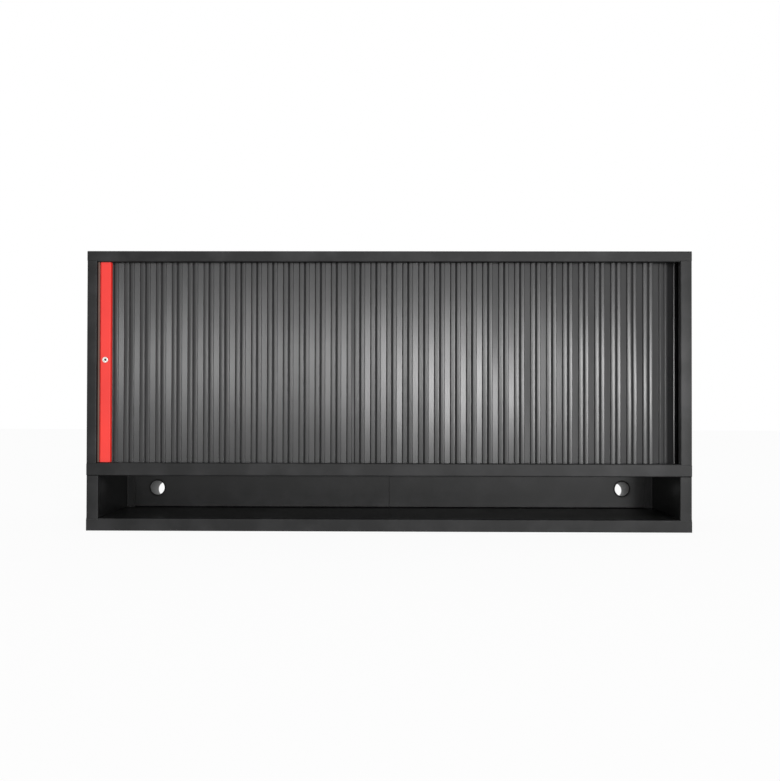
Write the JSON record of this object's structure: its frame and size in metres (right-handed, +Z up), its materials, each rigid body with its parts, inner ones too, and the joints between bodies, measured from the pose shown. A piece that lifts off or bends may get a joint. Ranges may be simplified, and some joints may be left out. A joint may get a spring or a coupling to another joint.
{
  "type": "roll front tool cabinet",
  "caption": "Steel wall cabinet for tools, closed by a sideways tambour roll front with a red lead rail and cam lock, over an open niche with cable holes in its back.",
  "frame": {"origin": "middle of the underside, at the height of the lowest fold", "axes": "+X to the right seen from the front, +Y to the back, +Z up; the curtain faces -Y"},
  "size_m": [1.455, 0.32, 0.675],
  "materials": {
    "black_coat": "satin, finely textured powder coat",
    "slat_plastic": "satin extruded plastic",
    "track_plastic": "matt moulded plastic",
    "red_coat": "satin coat on an extrusion",
    "nickel": "satin nickel plate",
    "zinc_steel": "zinc plate"
  },
  "bodies": {
    "cabinet": {"top_panel": "black_coat", "mid_deck": "black_coat", "left_side": "black_coat", "right_side": "black_coat", "rear_panel": "black_coat", "bottom_track": "track_plastic", "top_track": "track_plastic", "curtain_liner": "black_coat", "inner_floor": "black_coat", "centre_partition": "black_coat", "left_shelf": "black_coat", "right_shelf": "black_coat", "niche_tray": "black_coat", "niche_left_side": "black_coat", "niche_right_side": "black_coat", "niche_back_left": "black_coat", "niche_back_right": "black_coat"},
    "rail": {"lead_rail": "red_coat", "top_glider": "track_plastic", "bottom_glider": "track_plastic", "lock_barrel": "nickel"},
    "lock": {"lock_plug": "nickel", "lock_cam": "zinc_steel"},
    "slat_01": {"slat_01": "slat_plastic"},
    "slat_02": {"slat_02": "slat_plastic"},
    "slat_03": {"slat_03": "slat_plastic"},
    "slat_04": {"slat_04": "slat_plastic"},
    "slat_05": {"slat_05": "slat_plastic"},
    "slat_06": {"slat_06": "slat_plastic"},
    "slat_07": {"slat_07": "slat_plastic"},
    "slat_08": {"slat_08": "slat_plastic"},
    "slat_09": {"slat_09": "slat_plastic"},
    "slat_10": {"slat_10": "slat_plastic"},
    "slat_11": {"slat_11": "slat_plastic"},
    "slat_12": {"slat_12": "slat_plastic"},
    "slat_13": {"slat_13": "slat_plastic"},
    "slat_14": {"slat_14": "slat_plastic"},
    "slat_15": {"slat_15": "slat_plastic"},
    "slat_16": {"slat_16": "slat_plastic"},
    "slat_17": {"slat_17": "slat_plastic"},
    "slat_18": {"slat_18": "slat_plastic"},
    "slat_19": {"slat_19": "slat_plastic"},
    "slat_20": {"slat_20": "slat_plastic"},
    "slat_21": {"slat_21": "slat_plastic"},
    "slat_22": {"slat_22": "slat_plastic"},
    "slat_23": {"slat_23": "slat_plastic"},
    "slat_24": {"slat_24": "slat_plastic"},
    "slat_25": {"slat_25": "slat_plastic"},
    "slat_26": {"slat_26": "slat_plastic"},
    "slat_27": {"slat_27": "slat_plastic"},
    "slat_28": {"slat_28": "slat_plastic"},
    "slat_29": {"slat_29": "slat_plastic"},
    "slat_30": {"slat_30": "slat_plastic"},
    "slat_31": {"slat_31": "slat_plastic"},
    "slat_32": {"slat_32": "slat_plastic"},
    "slat_33": {"slat_33": "slat_plastic"},
    "slat_34": {"slat_34": "slat_plastic"},
    "slat_35": {"slat_35": "slat_plastic"},
    "slat_36": {"slat_36": "slat_plastic"},
    "slat_37": {"slat_37": "slat_plastic"}
  },
  "joints": [
    {"name": "rail_slide", "type": "slide", "parent": "cabinet", "child": "rail", "axis": [1, 0, 0], "range_m": [0, 1.3347]},
    {"name": "lock_turn", "type": "hinge", "parent": "rail", "child": "lock", "pos_m": [-0.6844, -0.16, 0.412], "axis": [0, 1, 0], "range_deg": [0, 90]},
    {"name": "slat_01_slide", "type": "slide", "parent": "cabinet", "child": "slat_01", "axis": [1, 0, 0], "range_m": [0, 1.3347], "deforming": ["slat_01"]},
    {"name": "slat_02_slide", "type": "slide", "parent": "cabinet", "child": "slat_02", "axis": [1, 0, 0], "range_m": [0, 1.29645], "deforming": ["slat_02"]},
    {"name": "slat_03_slide", "type": "slide", "parent": "cabinet", "child": "slat_03", "axis": [1, 0, 0], "range_m": [0, 1.2582], "deforming": ["slat_03"]},
    {"name": "slat_04_slide", "type": "slide", "parent": "cabinet", "child": "slat_04", "axis": [1, 0, 0], "range_m": [0, 1.21995], "deforming": ["slat_04"]},
    {"name": "slat_05_slide", "type": "slide", "parent": "cabinet", "child": "slat_05", "axis": [1, 0, 0], "range_m": [0, 1.1817], "deforming": ["slat_05"]},
    {"name": "slat_06_slide", "type": "slide", "parent": "cabinet", "child": "slat_06", "axis": [1, 0, 0], "range_m": [0, 1.14345], "deforming": ["slat_06"]},
    {"name": "slat_07_slide", "type": "slide", "parent": "cabinet", "child": "slat_07", "axis": [1, 0, 0], "range_m": [0, 1.1052], "deforming": ["slat_07"]},
    {"name": "slat_08_slide", "type": "slide", "parent": "cabinet", "child": "slat_08", "axis": [1, 0, 0], "range_m": [0, 1.06695], "deforming": ["slat_08"]},
    {"name": "slat_09_slide", "type": "slide", "parent": "cabinet", "child": "slat_09", "axis": [1, 0, 0], "range_m": [0, 1.0287], "deforming": ["slat_09"]},
    {"name": "slat_10_slide", "type": "slide", "parent": "cabinet", "child": "slat_10", "axis": [1, 0, 0], "range_m": [0, 0.99045], "deforming": ["slat_10"]},
    {"name": "slat_11_slide", "type": "slide", "parent": "cabinet", "child": "slat_11", "axis": [1, 0, 0], "range_m": [0, 0.9522], "deforming": ["slat_11"]},
    {"name": "slat_12_slide", "type": "slide", "parent": "cabinet", "child": "slat_12", "axis": [1, 0, 0], "range_m": [0, 0.91395], "deforming": ["slat_12"]},
    {"name": "slat_13_slide", "type": "slide", "parent": "cabinet", "child": "slat_13", "axis": [1, 0, 0], "range_m": [0, 0.8757], "deforming": ["slat_13"]},
    {"name": "slat_14_slide", "type": "slide", "parent": "cabinet", "child": "slat_14", "axis": [1, 0, 0], "range_m": [0, 0.83744], "deforming": ["slat_14"]},
    {"name": "slat_15_slide", "type": "slide", "parent": "cabinet", "child": "slat_15", "axis": [1, 0, 0], "range_m": [0, 0.79919], "deforming": ["slat_15"]},
    {"name": "slat_16_slide", "type": "slide", "parent": "cabinet", "child": "slat_16", "axis": [1, 0, 0], "range_m": [0, 0.76094], "deforming": ["slat_16"]},
    {"name": "slat_17_slide", "type": "slide", "parent": "cabinet", "child": "slat_17", "axis": [1, 0, 0], "range_m": [0, 0.74247], "deforming": ["slat_17"]},
    {"name": "slat_18_slide", "type": "slide", "parent": "cabinet", "child": "slat_18", "axis": [1, 0, 0], "range_m": [0, 0.70421], "deforming": ["slat_18"]},
    {"name": "slat_19_slide", "type": "slide", "parent": "cabinet", "child": "slat_19", "axis": [1, 0, 0], "range_m": [0, 0.66596], "deforming": ["slat_19"]},
    {"name": "slat_20_slide", "type": "slide", "parent": "cabinet", "child": "slat_20", "axis": [1, 0, 0], "range_m": [0, 0.62771], "deforming": ["slat_20"]},
    {"name": "slat_21_slide", "type": "slide", "parent": "cabinet", "child": "slat_21", "axis": [1, 0, 0], "range_m": [0, 0.58946], "deforming": ["slat_21"]},
    {"name": "slat_22_slide", "type": "slide", "parent": "cabinet", "child": "slat_22", "axis": [1, 0, 0], "range_m": [0, 0.55121], "deforming": ["slat_22"]},
    {"name": "slat_23_slide", "type": "slide", "parent": "cabinet", "child": "slat_23", "axis": [1, 0, 0], "range_m": [0, 0.51296], "deforming": ["slat_23"]},
    {"name": "slat_24_slide", "type": "slide", "parent": "cabinet", "child": "slat_24", "axis": [1, 0, 0], "range_m": [0, 0.47471], "deforming": ["slat_24"]},
    {"name": "slat_25_slide", "type": "slide", "parent": "cabinet", "child": "slat_25", "axis": [1, 0, 0], "range_m": [0, 0.43646], "deforming": ["slat_25"]},
    {"name": "slat_26_slide", "type": "slide", "parent": "cabinet", "child": "slat_26", "axis": [1, 0, 0], "range_m": [0, 0.39821], "deforming": ["slat_26"]},
    {"name": "slat_27_slide", "type": "slide", "parent": "cabinet", "child": "slat_27", "axis": [1, 0, 0], "range_m": [0, 0.35996], "deforming": ["slat_27"]},
    {"name": "slat_28_slide", "type": "slide", "parent": "cabinet", "child": "slat_28", "axis": [1, 0, 0], "range_m": [0, 0.32171], "deforming": ["slat_28"]},
    {"name": "slat_29_slide", "type": "slide", "parent": "cabinet", "child": "slat_29", "axis": [1, 0, 0], "range_m": [0, 0.28346], "deforming": ["slat_29"]},
    {"name": "slat_30_slide", "type": "slide", "parent": "cabinet", "child": "slat_30", "axis": [1, 0, 0], "range_m": [0, 0.24521], "deforming": ["slat_30"]},
    {"name": "slat_31_slide", "type": "slide", "parent": "cabinet", "child": "slat_31", "axis": [1, 0, 0], "range_m": [0, 0.20696], "deforming": ["slat_31"]},
    {"name": "slat_32_slide", "type": "slide", "parent": "cabinet", "child": "slat_32", "axis": [1, 0, 0], "range_m": [0, 0.16871], "deforming": ["slat_32"]},
    {"name": "slat_33_slide", "type": "slide", "parent": "cabinet", "child": "slat_33", "axis": [1, 0, 0], "range_m": [0, 0.13046], "deforming": ["slat_33"]},
    {"name": "slat_34_slide", "type": "slide", "parent": "cabinet", "child": "slat_34", "axis": [1, 0, 0], "range_m": [0, 0.09221], "deforming": ["slat_34"]},
    {"name": "slat_35_slide", "type": "slide", "parent": "cabinet", "child": "slat_35", "axis": [1, 0, 0], "range_m": [0, 0.05396], "deforming": ["slat_35"]},
    {"name": "slat_36_turn", "type": "hinge", "parent": "cabinet", "child": "slat_36", "pos_m": [0.6573, -0.0796, 0], "axis": [0, 0, 1], "range_deg": [0, 15]},
    {"name": "slat_37_turn", "type": "hinge", "parent": "cabinet", "child": "slat_37", "pos_m": [0.6573, -0.0796, 0], "axis": [0, 0, 1], "range_deg": [0, 15]}
  ],
  "couplings": [
    {"joint": "slat_01_slide", "follows": "rail_slide", "ratio": 1},
    {"joint": "slat_02_slide", "follows": "rail_slide", "ratio": 0.97134},
    {"joint": "slat_03_slide", "follows": "rail_slide", "ratio": 0.94268},
    {"joint": "slat_04_slide", "follows": "rail_slide", "ratio": 0.91402},
    {"joint": "slat_05_slide", "follows": "rail_slide", "ratio": 0.88537},
    {"joint": "slat_06_slide", "follows": "rail_slide", "ratio": 0.85671},
    {"joint": "slat_07_slide", "follows": "rail_slide", "ratio": 0.82805},
    {"joint": "slat_08_slide", "follows": "rail_slide", "ratio": 0.79939},
    {"joint": "slat_09_slide", "follows": "rail_slide", "ratio": 0.77073},
    {"joint": "slat_10_slide", "follows": "rail_slide", "ratio": 0.74207},
    {"joint": "slat_11_slide", "follows": "rail_slide", "ratio": 0.71342},
    {"joint": "slat_12_slide", "follows": "rail_slide", "ratio": 0.68476},
    {"joint": "slat_13_slide", "follows": "rail_slide", "ratio": 0.6561},
    {"joint": "slat_14_slide", "follows": "rail_slide", "ratio": 0.62744},
    {"joint": "slat_15_slide", "follows": "rail_slide", "ratio": 0.59878},
    {"joint": "slat_16_slide", "follows": "rail_slide", "ratio": 0.57012},
    {"joint": "slat_17_slide", "follows": "rail_slide", "ratio": 0.55628},
    {"joint": "slat_18_slide", "follows": "rail_slide", "ratio": 0.52762},
    {"joint": "slat_19_slide", "follows": "rail_slide", "ratio": 0.49896},
    {"joint": "slat_20_slide", "follows": "rail_slide", "ratio": 0.4703},
    {"joint": "slat_21_slide", "follows": "rail_slide", "ratio": 0.44164},
    {"joint": "slat_22_slide", "follows": "rail_slide", "ratio": 0.41299},
    {"joint": "slat_23_slide", "follows": "rail_slide", "ratio": 0.38433},
    {"joint": "slat_24_slide", "follows": "rail_slide", "ratio": 0.35567},
    {"joint": "slat_25_slide", "follows": "rail_slide", "ratio": 0.32701},
    {"joint": "slat_26_slide", "follows": "rail_slide", "ratio": 0.29835},
    {"joint": "slat_27_slide", "follows": "rail_slide", "ratio": 0.26969},
    {"joint": "slat_28_slide", "follows": "rail_slide", "ratio": 0.24104},
    {"joint": "slat_29_slide", "follows": "rail_slide", "ratio": 0.21238},
    {"joint": "slat_30_slide", "follows": "rail_slide", "ratio": 0.18372},
    {"joint": "slat_31_slide", "follows": "rail_slide", "ratio": 0.15506},
    {"joint": "slat_32_slide", "follows": "rail_slide", "ratio": 0.1264},
    {"joint": "slat_33_slide", "follows": "rail_slide", "ratio": 0.097744},
    {"joint": "slat_34_slide", "follows": "rail_slide", "ratio": 0.069086},
    {"joint": "slat_35_slide", "follows": "rail_slide", "ratio": 0.040427},
    {"joint": "slat_36_turn", "follows": "rail_slide", "rad_per_m": 0.19615},
    {"joint": "slat_37_turn", "follows": "rail_slide", "rad_per_m": 0.19615}
  ]
}
